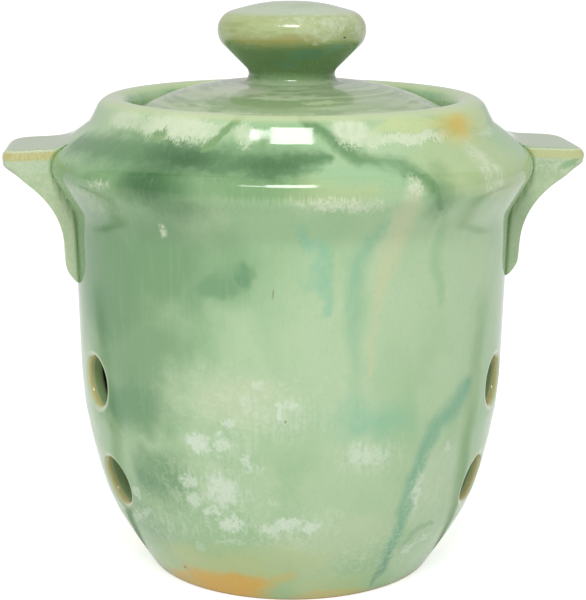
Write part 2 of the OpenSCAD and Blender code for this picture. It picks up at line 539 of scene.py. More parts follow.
def run(place, points, softness=0.5, over=0, round_mm=ROUND_MM):
    """A run through points of (degrees, height, half width in millimetres)."""
    for (a0, h0, w0), (a1, h1, w1) in zip(points, points[1:]):
        over = use(place.id_data, run_group, Over=over, Place=place, From=(a0 * round_mm, h0, 0),
                   To=(a1 * round_mm, h1, 0), Width=w0, End_width=w1, Softness=softness)["Amount"]
    return over


def clouds(place, patches, softness=0.5, over=0, round_mm=ROUND_MM):
    """Patches of (degrees, height, half width in degrees, half height, strength, any turn in degrees)."""
    for around, height, wide, tall, strength, *turned_by in patches:
        turned_by = math.radians(sum(turned_by))
        c, s = math.cos(turned_by), math.sin(turned_by)
        wide = wide * round_mm
        over = use(place.id_data, cloud_group, Over=over, Place=place,
                   Middle=(around * round_mm, height, 0), Across=(c / wide, s / wide, 0),
                   Up=(-s / tall, c / tall, 0), Softness=softness, Strength=strength)["Amount"]
    return over


def new_glaze(name, round_mm=ROUND_MM):
    """A glaze's material, with its shader, where each point is and the glaze's grain."""
    glaze = bpy.data.materials.new(name)
    glaze.use_nodes = True
    tree = glaze.node_tree
    where = use(tree, place_group, Round=round_mm)
    grain = use(tree, grain_group, Point=where["Point"])
    return glaze, tree.nodes["Principled BSDF"], where, grain


def drift(where, wander, fraying, combing=0, place="Place"):
    """A place drifted by the run of the glaze."""
    start = where[place]
    return use(start.id_data, drift_group, Point=where["Point"], Place=start, Wander=wander,
               Fraying=fraying, Combing=combing)["Place"]


def dimple(shader, height):
    """The faintly dimpled skin of a fired glaze, a tenth of a millimetre deep."""
    bump = shader.id_data.nodes.new("ShaderNodeBump")
    bump.inputs["Strength"].default_value = 0.35
    bump.inputs["Distance"].default_value = 0.1 * MM
    feed(bump.inputs["Height"], height)
    feed(shader.inputs["Normal"], bump.outputs["Normal"])


pot_glaze, shader, where, grain = new_glaze("poured_green_glaze")
soft = drift(where, 15, 3)
frayed = drift(where, 6, 2.6)
combed = drift(where, 5, 2, 6.5)
feathered = drift(where, 8, 7, 6)
inward = carried(pot_glaze, "inward")
height = where["Height"]

# all round the pot the glaze clouds from pale to mid green and ran in soft darker veins
colour = tint("A9C99E", "BAD3AC", step(grain["Cloud"], 0.40, 0.62))
side = step(calc("ABSOLUTE", where["Around"]), 68, 92)
colour = tint(colour, "86AA80", side, step(grain["Cloud"], 0.52, 0.36, 0, 0.6))
colour = tint(colour, "8FB996", side, times(grain["Vein"], 0.35))
belly = times(side, step(height, 150, 100))
colour = tint(colour, "CFDFC7", belly, step(grain["Lace"], 0.60, 0.72, 0, 0.8))

# broad mid-green ground on the left, with deeper clouds in it, the paler belly beside it and one patch of
# painted light
for shade, softness, patches in (
        ("7CA277", 0.55, [
            (-58, 122, 24, 30, 0.95), (-40, 132, 20, 20, 0.9, 20), (-24, 132, 13, 15, 0.6, 20),
            (-45, 98, 18, 16, 0.8, 20), (-50, 77, 16, 10, 0.85), (-42, 50, 10, 12, 0.85),
            (-60, 30, 18, 14, 0.45), (-30, 118, 8, 8, 0.5, 30)]),
        ("6C9870", 0.6, [
            (-61, 110, 9, 9, 0.35), (-15, 132, 2.6, 3.6, 0.8, 10), (-22, 126, 9, 4, 0.55, 35),
            (-47, 80, 9, 8, 0.45), (-46, 47, 5, 4, 0.5), (-54, 75, 4, 6, 0.5)]),
        ("C2D8B4", 0.6, [
            (5, 95, 20, 30, 0.55), (-14, 86, 20, 12, 0.7), (30, 112, 26, 24, 0.35), (39, 47, 9, 16, 0.9),
            (8, 46, 16, 16, 0.35), (-18, 55, 12, 16, 0.35), (-10, 110, 12, 10, 0.3, 30),
            # painted light: this pale patch under the band on the right lifts the shade that falls there
            (46, 148, 9, 5, 0.6)]),
        ("CBD9B6", 0.6, [
            (-16, 85, 11, 8, 0.6), (14, 30, 12, 9, 0.5), (-2, 24, 14, 8, 0.4)])):
    colour = tint(colour, shade, clouds(soft, patches, softness))

# turquoise and teal runs down the front
teal = run(frayed, [
    (18, 149, 1.6), (15.5, 144, 2.6), (12.5, 136, 3), (11.5, 124, 3), (11, 108, 2.6), (13, 80, 2),
], 0.9)
colour = tint(colour, "90BF9C", teal, step(height, 84, 132, 0.25, 0.65))
turquoise = run(soft, [(0.5, 150, 1.4), (2, 140, 2.6), (3, 126, 2.4), (3.5, 116, 1)], 1)
turquoise = clouds(soft, [(17, 76, 9, 6, 0.9), (13.5, 74, 3, 5, 1, -25)], 1, turquoise)
colour = tint(colour, "8CC5A6", turquoise, 0.6)
for shade, amount, softness, points in (
        # the long one that bends in from the right, its deep core and a leaf-shaped offshoot
        ("84B594", 0.85, 0.85, [
            (48, 83, 2.5), (42.5, 76, 4.2), (36.5, 70.5, 4.2), (33, 62, 2.9), (31, 52, 2.9),
            (29.8, 38, 2.9), (29.2, 24, 3.2), (28.6, 11, 3), (28, 4, 1.2)]),
        ("6F9A79", 0.6, 0.7, [(29, 20, 1.6), (28.7, 11, 2.6), (28, 6, 1.2)]),
        ("9DBB93", 0.8, 0.5, [(33.5, 21, 1.2), (35.5, 26, 1.6), (39, 28.5, 1.5), (44, 28.5, 1)]),
        # the warm cream run beside the teal, under the pointed gap in the dark one
        ("C9D3AC", 0.85, 1, [
            (23, 160, 2), (22.5, 152, 3.6), (20.5, 138, 3.8), (18, 124, 2.2), (16, 108, 1.2),
            (15.5, 94, 0.9)])):
    colour = tint(colour, shade, run(frayed, points, softness), amount)

# the shoulder band: olive and yellow-green, with the dark run that circles it on the left
yellow = clouds(frayed, [(44, 166, 18, 10, 0.9), (5, 161, 12, 4.5, 0.8), (58, 160, 12, 8, 0.7)], 0.4)
colour = tint(colour, "BBCE9F", yellow)
shoulder = clouds(combed, [
    (-38, 160, 27, 7, 0.75), (-66, 160, 10, 4, 0.8), (-14, 162, 13, 4.5, 0.85),
], 0.7)
colour = tint(colour, "86A97B", shoulder)
dark = run(frayed, [
    (-74, 169.5, 3.2), (-58, 170, 4.2), (-44, 170.5, 4.8), (-30, 170, 5.4), (-18, 169.5, 4.6),
    (-3, 169.5, 4.4), (5, 171, 1.6),
], 0.75)
dark = clouds(frayed, [(-34, 163, 9, 8, 1), (-30, 154, 6, 5, 0.7)], 0.7, dark)
colour = tint(colour, "658B62", dark, 0.9)
darkest = clouds(frayed, [
    (-31, 169.5, 9, 3.4, 1), (-8, 168.5, 8, 2.6, 0.7), (-37, 161.5, 6, 5.5, 0.8),
], 0.8)
colour = tint(colour, "456A45", darkest, 0.85)
vein = run(frayed, [
    (-1, 183.5, 1.3), (4, 180, 1.7), (7, 175.5, 1.9), (12, 171.5, 2.4), (18, 168.2, 2.5), (24, 166.2, 2.6),
    (27.5, 162, 2.6), (29.5, 157, 2.6), (31.5, 152.5, 1.6),
], 0.85)
vein = run(frayed, [(21, 167, 2.4), (21, 161, 0.4)], 0.7, vein)
vein = clouds(soft, [(31.5, 157, 4, 8, 0.75)], 0.8, vein)
colour = tint(colour, "759A6E", vein, 0.95)
colour = tint(colour, "9FC498", run(frayed, [(34, 147, 1.5), (34, 132, 2.2), (36, 118, 1.6)], 0.8), 0.6)
paler = clouds(frayed, [(12, 166, 9, 3.5, 0.8), (19, 162.5, 3, 2.5, 0.8)], 0.5)
colour = tint(colour, "A8CBA3", paler, 0.8)

# curdled pale glaze on the lip and in patches, with feathered lower edges
lip = clouds(combed, [
    (-56, 179.5, 9, 3.4, 0.75), (-36, 179, 13, 4.4, 1), (-15.5, 178, 3.4, 3.6, 0.75),
    (12, 179, 5.5, 4.6, 1), (30, 175.6, 13, 2, 1), (18, 177, 3, 3.4, 0.8), (62, 174.2, 8, 0.8, 0.6),
], 0.3)
colour = tint(colour, "DDE9CC", lip, step(grain["Streak"], 0.25, 0.6, 0.7, 1))
colour = tint(colour, "CEDDAA", clouds(frayed, [(31, 180, 12, 2.6, 1), (62, 179, 9, 4, 0.8)], 0.35))
trickle = run(frayed, [(-25.5, 173, 1.4), (-22, 178, 1.2), (-18, 183, 1.3)], 0.5)
trickle = clouds(combed, [(-41, 176.4, 2.6, 1.8, 1), (-10.5, 177, 1.2, 3, 0.8)], 0.5, trickle)
colour = tint(colour, "86A777", trickle, 0.9)
colour = tint(colour, "DCCE84", clouds(frayed, [(48, 178.5, 7.5, 5, 1)], 0.95), 0.9)
colour = tint(colour, "D9B968", clouds(frayed, [(49, 178, 3, 3, 1)], 0.9), 0.5)
lace = clouds(combed, [
    (7, 156.4, 9.5, 2, 0.85, -4), (23, 161, 2, 4, 0.9), (47, 163, 4, 8, 0.8),
    (-51, 159.5, 3.5, 1.6, 0.7, 10), (-34.5, 144, 0.9, 2, 0.9), (-57, 152, 10, 5, 0.4),
], 0.5)
colour = tint(colour, "D9E5C9", lace, step(grain["Lace"], 0.38, 0.60, 0.25, 1))
veil = clouds(feathered, [
    (-24, 50, 10, 10, 0.9), (-33, 45, 5, 7, 0.7), (-16, 35, 17, 6, 0.9, -8), (0, 38, 9, 4.5, 0.8, 10),
    (-22, 68, 9, 6, 0.7), (-8, 80, 11, 7, 0.7), (-40, 30, 10, 6, 0.7, 20), (16, 62, 9, 6, 0.8),
    (33, 46, 3, 12, 0.8),
], 0.6)
veiled = times(step(grain["Streak"], 0.36, 0.62), step(grain["Lace"], 0.36, 0.58, 0.15, 0.6))
colour = tint(colour, "D6E5CE", veil, veiled)
blots = clouds(feathered, [
    (-27, 68, 3.2, 3.8, 1), (-20.5, 68.5, 1.8, 3.2, 0.8), (-19, 76, 1.6, 2, 0.7), (-15, 62, 1.2, 3.4, 0.8),
    (-22, 50, 3.8, 7, 1), (-32, 52, 3, 2.4, 0.8), (-31, 43.5, 2.6, 3.4, 0.8), (-20.5, 36, 3.6, 3.8, 1),
    (-25.5, 40.5, 2.2, 1.4, 0.9), (-10, 35.5, 3.2, 2.2, 0.8), (-5, 37.5, 4.5, 2.8, 1, 20),
    (2, 37, 2.6, 2.8, 1), (15.5, 63, 5, 3.2, 0.6), (12.5, 65, 1.6, 3, 0.6), (-6, 82, 0.9, 3, 0.9, 10),
    (-3, 84, 0.9, 2.6, 0.6), (-15, 84, 1.6, 3, 0.5), (-53, 41, 2, 2.4, 0.6), (-50, 32, 4, 1.8, 0.6, 30),
    (-57, 28, 3, 2, 0.6, 30), (-11, 91, 2, 1.6, 0.5), (37, 18.5, 2.4, 1.8, 0.6),
    (42, 22, 3.4, 1.4, 0.6, 25), (33, 44, 0.8, 5, 0.8), (42, 60, 1.2, 2.5, 0.5), (-22, 27, 4, 1.4, 0.45),
    (-33, 24, 2, 2, 0.4, 40), (-12, 58, 1.2, 1.6, 0.4), (-8, 47, 1.4, 1.8, 0.4),
], 0.35)
blotted = times(blots, step(grain["Lace"], 0.34, 0.52, 0.35, 1))
colour = tint(colour, "DCEAD6", blotted)

# curdled specks through the pale ground
ground = clouds(soft, [
    (-14, 84, 20, 12, 0.8), (-24, 48, 18, 18, 0.7), (-2, 34, 18, 9, 0.8), (20, 22, 20, 10, 0.8),
    (38, 45, 7, 16, 0.7), (-52, 34, 10, 12, 0.6), (16, 62, 10, 6, 0.5),
], 0.95)
curdling = calc("MULTIPLY_ADD", grain["Mottle"], 0.35, grain["Lace"])
specked = step(curdling, 0.62, 0.84, 0, 0.55)
colour = tint(colour, "D8E5C8", ground, specked)

# ochre where the glaze is thin over the foot, a haze above it and the few iron specks
ochre = clouds(frayed, [
    (-30, 4.5, 17, 6.5, 1), (-22, 8, 12, 4.5, 1, 5), (-46, 3, 10, 4, 0.8), (-8, 12, 7, 2.2, 0.4, 8),
    (12, 2, 14, 3, 0.45),
], 0.45)
haze = clouds(soft, [
    (-26, 15, 24, 8, 0.7), (-58, 6, 12, 5, 0.5), (-4, 20, 12, 7, 0.45), (10, 8, 16, 6, 0.45),
], 0.6)
hem = times(side, step(height, 16, 2))
ochre = calc("MAXIMUM", ochre, times(hem, step(grain["Cloud"], 0.42, 0.60)))
colour = tint(colour, "C9D39B", haze)
colour = tint(colour, "E3BA68", ochre, 0.95)
specks = clouds(where["Place"], [
    (-43.5, 10, 0.8, 0.5, 1, 30), (-8, 124, 0.25, 1.8, 0.6, -6), (-5, 78, 0.3, 0.6, 0.7),
], 0.3)
colour = tint(colour, "7E6E45", specks, 0.8)

# fine streaks and mottling over everything
colour = tint(colour, "D6E4C6", step(grain["Streak"], 0.50, 0.75, 0, 0.06))
colour = tint(colour, "789E77", step(grain["Mottle"], 0.50, 0.75, 0, 0.10))

# the lip's crest is thin and yellowish
crest = step(height, 181.2, 183.2)
colour = tint(colour, "CCD9AE", crest, 0.75)

# the vents' edges break to ochre, with pale glaze heaped round them, and their bores are green
heaped = times(step(inward, 0, 0.12), 0.7)
colour = tint(colour, "D6DFC2", heaped)
colour = tint(colour, "C3BD86", step(inward, 0.3, 0.75), step(inward, 1.15, 0.9))
colour = tint(colour, "A0B98A", step(inward, 0.95, 1.5))
colour = tint(colour, "9DBB8B", step(inward, 2.3, 3))

# bare clay under the foot
clay = step(height, 1.2, 0.5)
clay = times(clay, step(inward, 0.5, 0.2))
under = times(step(where["Radius"], 55.5, 54.5), step(height, 3, 2))
clay = calc("MAXIMUM", clay, under)
colour = tint(colour, "C8AE86", clay)
# the whole a little deeper and lighter
deepened = pot_glaze.node_tree.nodes.new("ShaderNodeHueSaturation")
deepened.inputs["Saturation"].default_value = 1.12
deepened.inputs["Value"].default_value = 1.03
feed(deepened.inputs["Color"], colour)
feed(shader.inputs["Base Color"], deepened.outputs["Color"])
rough = calc("MULTIPLY_ADD", ochre, 0.12, 0.09)
feed(shader.inputs["Roughness"], calc("MAXIMUM", rough, times(clay, 0.75)))

dimple(shader, times(grain["Peel"], 0.5))
pot.data.materials.append(pot_glaze)


# The lug handles are brackets pressed from a slab of the same clay, with a flat top, a blunt tip and a
# hollowed underside. They are scored and stuck on under the shoulder band before the pot dries, and
# slip is worked into the join with a finger.
# side, way it points, reach, height of its lower end, thickness at the tip, tilt and slant of its end
LUG_SIDES = [("right", 1, 112.6, 112.2, 5.6, 0.5, 2.2), ("left", -1, 110.3, 110.8, 6.4, 0.35, 0.0)]
LUG_HALF_W = 18.0
LUG_TOP_Z = 166.5
LUG_DROOP = 1.1
LUG_PROUD = 4.5
LUG_CORNER_R = 6.0
LUG_ROOT_DEPTH = 4.2
LUG_JOIN_R = 1.6
LUG_RUNGS = 22
LUG_ACROSS = [-18, -16.8, -14.5, -11, -6, 0, 6, 11, 14.5, 16.8, 18]
LUG_DOWN = [0.0, 0.35, 0.65, 1.0]
LUG_SUBDIVISIONS = 2


def evened(outline, count):
    """The outline as count points, equally far apart along it."""
    lengths = [0.0]
    for a, b in zip(outline, outline[1:]):
        lengths.append(lengths[-1] + (b - a).length)
    points = []
    for k in range(count):
        want = lengths[-1] * k / (count - 1)
        i = max(n for n in range(len(lengths) - 1) if lengths[n] <= want + 1e-9)
        t = (want - lengths[i]) / max(1e-9, lengths[i + 1] - lengths[i])
        points.append(outline[i].lerp(outline[i + 1], min(1.0, t)))
    return points


def eased(t):
    """A smooth step from 0 to 1."""
    t = min(1.0, max(0.0, t))
    return t * t * (3 - 2 * t)


def root(z, depth=LUG_ROOT_DEPTH):
    """A point a little way into the pot's wall at height z."""
    return Vector((wall_radius(outer_wall, z) - depth, z))


def lug_cage(reach, end_z, tip):
    """A lug on +X as rungs from its root to its tip, each a loop of points round the slab."""
    tip_z = LUG_TOP_Z - LUG_DROOP
    nose = (reach, tip_z - 0.55 * tip, 0)
    shoulder_r = wall_radius(outer_wall, LUG_TOP_Z)
    top_corners = [(*root(LUG_TOP_Z + 5, 0.5), 0), (shoulder_r, LUG_TOP_Z, 18), (reach, tip_z, 3.8), nose]
    under_corners = [
        (*root(end_z - 3.5), 0), (WALL_R - 3.6, end_z, 2.5), (WALL_R + LUG_PROUD - 0.7, end_z + 8.5, 6),
        (WALL_R + LUG_PROUD, LUG_TOP_Z - 20, 32), (reach, tip_z - tip, 2.3), nose,
    ]
    top = evened(rounded(top_corners, 10), LUG_RUNGS + 1)[:-1]
    under = evened(rounded(under_corners, 5), LUG_RUNGS + 1)[:-1]
    verts, rings = [], []
    for k, (a, b) in enumerate(zip(top, under)):
        edge = min(0.3, 1.6 / (a - b).length)
        down = [edge + (1 - 2 * edge) * t for t in LUG_DOWN]
        # the sides bulge near the root, so that they follow the shoulder band into the wall
        side = []
        for t in down:
            z = top[0].y + (under[0].y - top[0].y) * t
            bulge = (root(z) - top[0].lerp(under[0], t)) * (1 - k / LUG_RUNGS) ** 1.5
            side.append(a.lerp(b, t) + bulge)
        ring = [(a, y) for y in LUG_ACROSS] + [(p, LUG_HALF_W) for p in side]
        ring += [(b, -y) for y in LUG_ACROSS] + [(p, -LUG_HALF_W) for p in reversed(side)]
        rings.append(range(len(verts), len(verts) + len(ring)))
        verts += [Vector((p.x, y, p.y)) for p, y in ring]
    size, wide, tall = len(rings[0]), len(LUG_ACROSS), len(LUG_DOWN)
    faces = []
    for a, b in zip(rings, rings[1:]):
        faces += [[a[m], a[(m + 1) % size], b[(m + 1) % size], b[m]] for m in range(size)]
    # close the root and the tip with grids between the top row and the under row
    for ring, flip in ((rings[0], True), (rings[-1], False)):
        grid = [list(ring[:wide])]
        for i in range(tall):
            right, left = ring[wide + i], ring[size - 1 - i]
            row = [left]
            for y in LUG_ACROSS[1:-1]:
                row.append(len(verts))
                verts.append(verts[left].lerp(verts[right], 0.5 + y / LUG_HALF_W / 2))
            grid.append(row + [right])
        grid.append(list(reversed(ring[wide + tall:2 * wide + tall])))
        for upper, lower in zip(grid, grid[1:]):
            for m in range(wide - 1):
                face = [upper[m], upper[m + 1], lower[m + 1], lower[m]]
                faces.append(face[::-1] if flip else face)
    # round the tip's corners in plan, and bend the root round the pot
    shaped = []
    for v in verts:
        past = max(0.0, abs(v.y) - (LUG_HALF_W - LUG_CORNER_R))
        back = LUG_CORNER_R - math.sqrt(max(0.0, LUG_CORNER_R ** 2 - past ** 2))
        tipward = eased((v.x - reach + 9) / 9)
        bent = shoulder_r - math.sqrt(shoulder_r ** 2 - v.y ** 2)
        rootward = 1 - eased((v.x - WALL_R) / (reach - WALL_R - 8))
        shaped.append(Vector((v.x - back * tipward - bent * rootward, v.y, v.z)))
    return shaped, faces


def wall_normal(z):
    """The direction that the outside of the wall faces at height z, as radial and upward parts."""
    along = root(z + 0.5, 0) - root(z - 0.5, 0)
    return Vector((along.y, -along.x)).normalized()


def smoothed(verts, faces, levels):
    """The mesh that subdivision makes of a cage: its points in millimetres and its faces."""
    cage = add_piece("cage", verts, faces, levels)
    fine = bpy.data.meshes.new_from_object(cage.evaluated_get(bpy.context.evaluated_depsgraph_get()))
    points = [v.co / MM for v in fine.vertices]
    normals = [Vector(n.vector) for n in fine.vertex_normals]
    polygons = [list(p.vertices) for p in fine.polygons]
    bpy.data.objects.remove(cage)
    bpy.data.meshes.remove(fine)
    return points, normals, polygons


lugs = []
for side, way, reach, end_z, tip, tilt, slant in LUG_SIDES:
    points, normals, polygons = smoothed(*lug_cage(reach, end_z, tip), LUG_SUBDIVISIONS)
    shape, below_top, gaps = [], [], []
    for v, n in zip(points, normals):
        below_top.append(LUG_TOP_Z - LUG_DROOP * (v.x - WALL_R) / (reach - WALL_R) - v.z)
        # flare the lug where it meets the wall, as the slip in the join does
        around = Vector((v.x, v.y, 0)).normalized()
        facing = wall_normal(v.z)
        wall_faces = around * facing.x + Vector((0, 0, facing.y))
        gap = (math.hypot(v.x, v.y) - wall_radius(outer_wall, v.z)) * facing.x
        gaps.append(gap)
        along = n - wall_faces * n.dot(wall_faces)
        if gap < LUG_JOIN_R and along.length > 0.3:
            near = LUG_JOIN_R - max(0.0, gap)
            v = v + along.normalized() * (LUG_JOIN_R - math.sqrt(LUG_JOIN_R ** 2 - near ** 2))
        out = eased((v.x - BAND_R) / (reach - BAND_R))
        x = v.x - slant * out * (0.5 + v.y / LUG_HALF_W / 2)
        shape.append(Vector((x * way, v.y, v.z + tilt * v.y / LUG_HALF_W)))
    lug = add_piece(side + "_lug", shape, polygons if way > 0 else [f[::-1] for f in polygons], 0)
    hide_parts(side + "_lug_handle")
    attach(lug, "pot")
    # how far each point lies below the lug's top and off the wall, for the glaze
    lug.data.attributes.new("below_top", "FLOAT", "POINT").data.foreach_set("value", below_top)
    lug.data.attributes.new("gap", "FLOAT", "POINT").data.foreach_set("value", gaps)
    lugs.append(lug)

lug_glaze, shader, where, grain = new_glaze("lug_glaze")
below = calc("SUBTRACT", carried(lug_glaze, "below_top"), 0.45)
below = calc("MULTIPLY_ADD", grain["Mottle"], 0.9, below)
gap = carried(lug_glaze, "gap")
front = drift(where, 3, 3, place="Front")

curdling = calc("MULTIPLY_ADD", grain["Mottle"], 0.5, grain["Lace"])
colour = tint("B9CFA4", "CAD9B3", step(curdling, 0.55, 0.95))
colour = tint(colour, "95B58B", step(grain["Cloud"], 0.50, 0.36, 0, 0.4))
lace = times(step(below, 3.9, 4.3), step(below, 10.5, 7.5))
colour = tint(colour, "C9DBBA", lace, step(grain["Lace"], 0.36, 0.60, 0.1, 0.8))
colour = tint(colour, "93B987", clouds(front, [(105.5, 159.5, 5, 1.6, 1, 26)], 0.4, round_mm=1), 0.85)
breaking = times(step(below, 0.7, 1.1), step(below, 4.3, 3.7))
edge_colour = tint("CFD096", "CBBD79", step(grain["Mottle"], 0.42, 0.70))
edge_colour = tint(edge_colour, "CAD29A", step(where["Around"], -10, 10, 0, 0.85))
colour = tint(colour, edge_colour, breaking)
# painted highlight: a thin pale line along the lug's rounded top edge, where the edge catches the light
colour = tint(colour, "D9E2BC", step(below, 0.25, 0.5), step(below, 1.1, 0.8))
colour = tint(colour, "B4C5A4", step(below, 0.4, 0.1, 0, 0.8))
# painted light: the crease where the lug meets the wall is painted paler, to lift the shade that falls in
# it
crease_painted_light = times(step(gap, 1.7, 0.3), step(below, 1.5, 4))
colour = tint(colour, "C6DAB2", crease_painted_light, 0.5)
feed(shader.inputs["Base Color"], colour)
shader.inputs["Roughness"].default_value = 0.11
dimple(shader, grain["Peel"])
for lug in lugs:
    lug.data.materials.append(lug_glaze)


# The lid is thrown upside down in the same clay, as a shallow dome with a flat rim. It is turned when
# leather hard, glazed but for its rim's underside, and drops loose into the recess in the lip.
LID_R = 61.5
LID_EDGE_Z = 177.3
LID_T = 6.5
PAD_Z = 189
LID_COLUMNS = 96
LID_GAP = 3
LID_CORNERS = [
    (0, PAD_Z - LID_T, 0), (36, PAD_Z - LID_T, 60), (MOUTH_R - 6, PAD_Z - LID_T - 5, 6),
    (MOUTH_R - 2.5, SEAT_Z, 1), (LID_R, SEAT_Z, 1), (LID_R, LID_EDGE_Z, 2), (43, PAD_Z, 78),
    (0, PAD_Z, 0),
]
verts, faces, _ = turned(spaced(rounded(LID_CORNERS), LID_GAP), LID_COLUMNS)
lid = add_piece("domed_lid", verts, faces)
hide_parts("lid")
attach(lid, "lid_body")

LID_ROUND_MM = 0.7
lid_glaze, shader, where, grain = new_glaze("lid_glaze", LID_ROUND_MM)
drifted = drift(where, 5, 4, place="Plan")
# bands brushed round by the wheel: noise that changes fast outwards and slowly round the lid
slow = noise_at(where["Point"], 0.028, 1)["Fac"]
swirl = joined(times(where["Radius"], 0.30), times(slow, 9))
bands = noise_at(swirl, 1, 2, 0.5)["Fac"]
colour = tint("94AC82", "B6C8A0", step(bands, 0.38, 0.64))
for shade, *patch in (
        ("C3CDB0", -44, 31, 24, 7.5, 0.95), ("BAC8A6", -62, 42, 16, 4, 0.7),
        ("8DA779", -18, 45, 30, 4.6, 0.9), ("BACB9F", 10, 43.5, 9, 1.4, 0.9),
        ("B9C9A0", -12, 40, 15, 1, 0.7), ("92A982", 22, 33, 14, 2, 0.6), ("B2C2A0", 45, 45, 18, 5, 0.7),
        ("9FB68D", 30, 48, 14, 2.6, 0.7), ("94AE80", -2, 50, 26, 1.5, 0.8)):
    patch = clouds(drifted, [patch], 0.35, round_mm=LID_ROUND_MM)
    colour = tint(colour, shade, patch)
speck = clouds(where["Plan"], [(-46, 36.8, 0.7, 0.5, 0.8)], 0.4, round_mm=LID_ROUND_MM)
colour = tint(colour, "7C8A66", speck)
clay = step(where["Height"], 172.9, 172.3)
colour = tint(colour, "C8AE86", clay)
feed(shader.inputs["Base Color"], colour)
feed(shader.inputs["Roughness"], calc("MULTIPLY_ADD", clay, 0.6, 0.11))
dimple(shader, grain["Peel"])
lid.data.materials.append(lid_glaze)


# The knob is thrown on its own as a small closed form of the same clay, waisted under a fat rounded
# rim. It is stuck on to the lid's flat pad with slip and glazed with the lid.
KNOB_R = 28.4
KNOB_TOP_Z = 219.5
KNOB_FOOT_R = 20.5
KNOB_COLUMNS = 72
KNOB_GAP = 2.5
KNOB_CORNERS = [
    (0, PAD_Z, 0), (KNOB_FOOT_R, PAD_Z, 0), (12.4, PAD_Z + 0.5, 3.2), (KNOB_R, KNOB_TOP_Z - 14.3, 8),
    (KNOB_R, KNOB_TOP_Z - 5, 7.6), (10.2, KNOB_TOP_Z, 55), (0, KNOB_TOP_Z, 0),
]
verts, faces, _ = turned(spaced(rounded(KNOB_CORNERS), KNOB_GAP), KNOB_COLUMNS)
knob = add_piece("turned_knob", verts, faces)
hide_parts("lid_knob")
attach(knob, "lid_body")

KNOB_ROUND_MM = 0.5
knob_glaze, shader, where, grain = new_glaze("knob_glaze", KNOB_ROUND_MM)
height = where["Height"]
drifted = drift(where, 3, 3)
curled = drift(where, 4, 9)
slow = noise_at(where["Point"], 0.05, 1)["Fac"]
swirl = joined(times(height, 0.55), times(slow, 7))
bands = noise_at(swirl, 1, 3, 0.6)["Fac"]
colour = tint("B0BC82", "BBC992", step(bands, 0.36, 0.64))
sinking = calc("MULTIPLY_ADD", bands, 5, height)
colour = tint(colour, "7B9C66", step(sinking, 209.8, 204.4))
colour = tint(colour, "8FB088", step(height, 205, 199), step(grain["Mottle"], 0.45, 0.75, 0, 0.5))
colour = tint(colour, "C1CFB0", step(height, 214.6, 216.2))
colour = tint(colour, "A9BE9B", step(height, 216.8, 218.3), step(grain["Cloud"], 0.42, 0.62, 0, 0.7))
for shade, *patch in (
        ("A8A661", -8, 206.5, 26, 2, 0.8), ("ABAA68", -4, 206.4, 9, 1.2, 0.5),
        ("A9AA66", -45, 206.5, 16, 1.6, 0.6), ("8E9E60", 2, 204, 40, 1.2, 0.6),
        ("A9B87C", 40, 207.5, 13, 3.5, 0.8), ("6E8C5C", -30, 199, 30, 3, 0.4),
        ("6FA07E", 10, 201, 16, 2.4, 0.7), ("74A07C", -10, 197.5, 12, 1.8, 0.6),
        ("7FAA88", 34, 203.5, 12, 1.8, 0.7)):
    patch = clouds(drifted, [patch], 0.5, round_mm=KNOB_ROUND_MM)
    colour = tint(colour, shade, patch)
lace = clouds(curled, [
    (24, 212.5, 26, 3.4, 1), (54, 211.5, 10, 3.5, 0.9), (16, 209, 10, 3, 0.8), (-2, 214.2, 14, 1.5, 0.8),
    (30, 209.5, 6, 2, 0.7),
], 0.35, round_mm=KNOB_ROUND_MM)
curl = run(drifted, [
    (16.4, 209.5, 0.5), (12.8, 205.4, 0.7), (18, 205.2, 0.4), (19.2, 208, 0.4),
], round_mm=KNOB_ROUND_MM)
lace = calc("MAXIMUM", lace, curl)
lace = times(lace, step(grain["Lace"], 0.38, 0.66, 0.15, 0.85))
colour = tint(colour, "CFDCBB", lace)
speck = clouds(where["Place"], [(40, 207.2, 1.4, 0.35, 1)], 0.3, round_mm=KNOB_ROUND_MM)
colour = tint(colour, "3F4A30", speck)
# a pale streaked band round the knob's foot, partly painted highlight where the softbox's reflection falls
# on the flare
colour = tint(colour, "B3C6A2", step(height, 192, 189.8), step(bands, 0.35, 0.6, 0.1, 0.7))
feed(shader.inputs["Base Color"], colour)
shader.inputs["Roughness"].default_value = 0.10
dimple(shader, grain["Peel"])
knob.data.materials.append(knob_glaze)


# The stage is a pale sweep of seamless paper under and behind the pot, with one wide softbox high in
# front, a small one beside it, and the camera at the photograph's viewing angle.
FLOOR_R = 12
FLOOR_SIDES = 64
floor_mesh = bpy.data.meshes.new("paper_floor")
turns = [2 * math.pi * k / FLOOR_SIDES for k in range(FLOOR_SIDES)]
rim = [(FLOOR_R * math.cos(a), FLOOR_R * math.sin(a), 0) for a in turns]
floor_mesh.from_pydata(rim, [], [list(range(FLOOR_SIDES))])
floor = bpy.data.objects.new("paper_floor", floor_mesh)
scene.collection.objects.link(floor)

CAMERA_TURN = math.radians(3.75)
CAMERA_PITCH = math.radians(12.82)
CAMERA_ROLL = math.radians(0.2)
CAMERA_DISTANCE = 0.650
CAMERA_HEIGHT = 0.251
FOCAL_PX = 1688.4
PHOTO_H = 600
AXIS_SHIFT_PX = 2
SENSOR_MM = 36

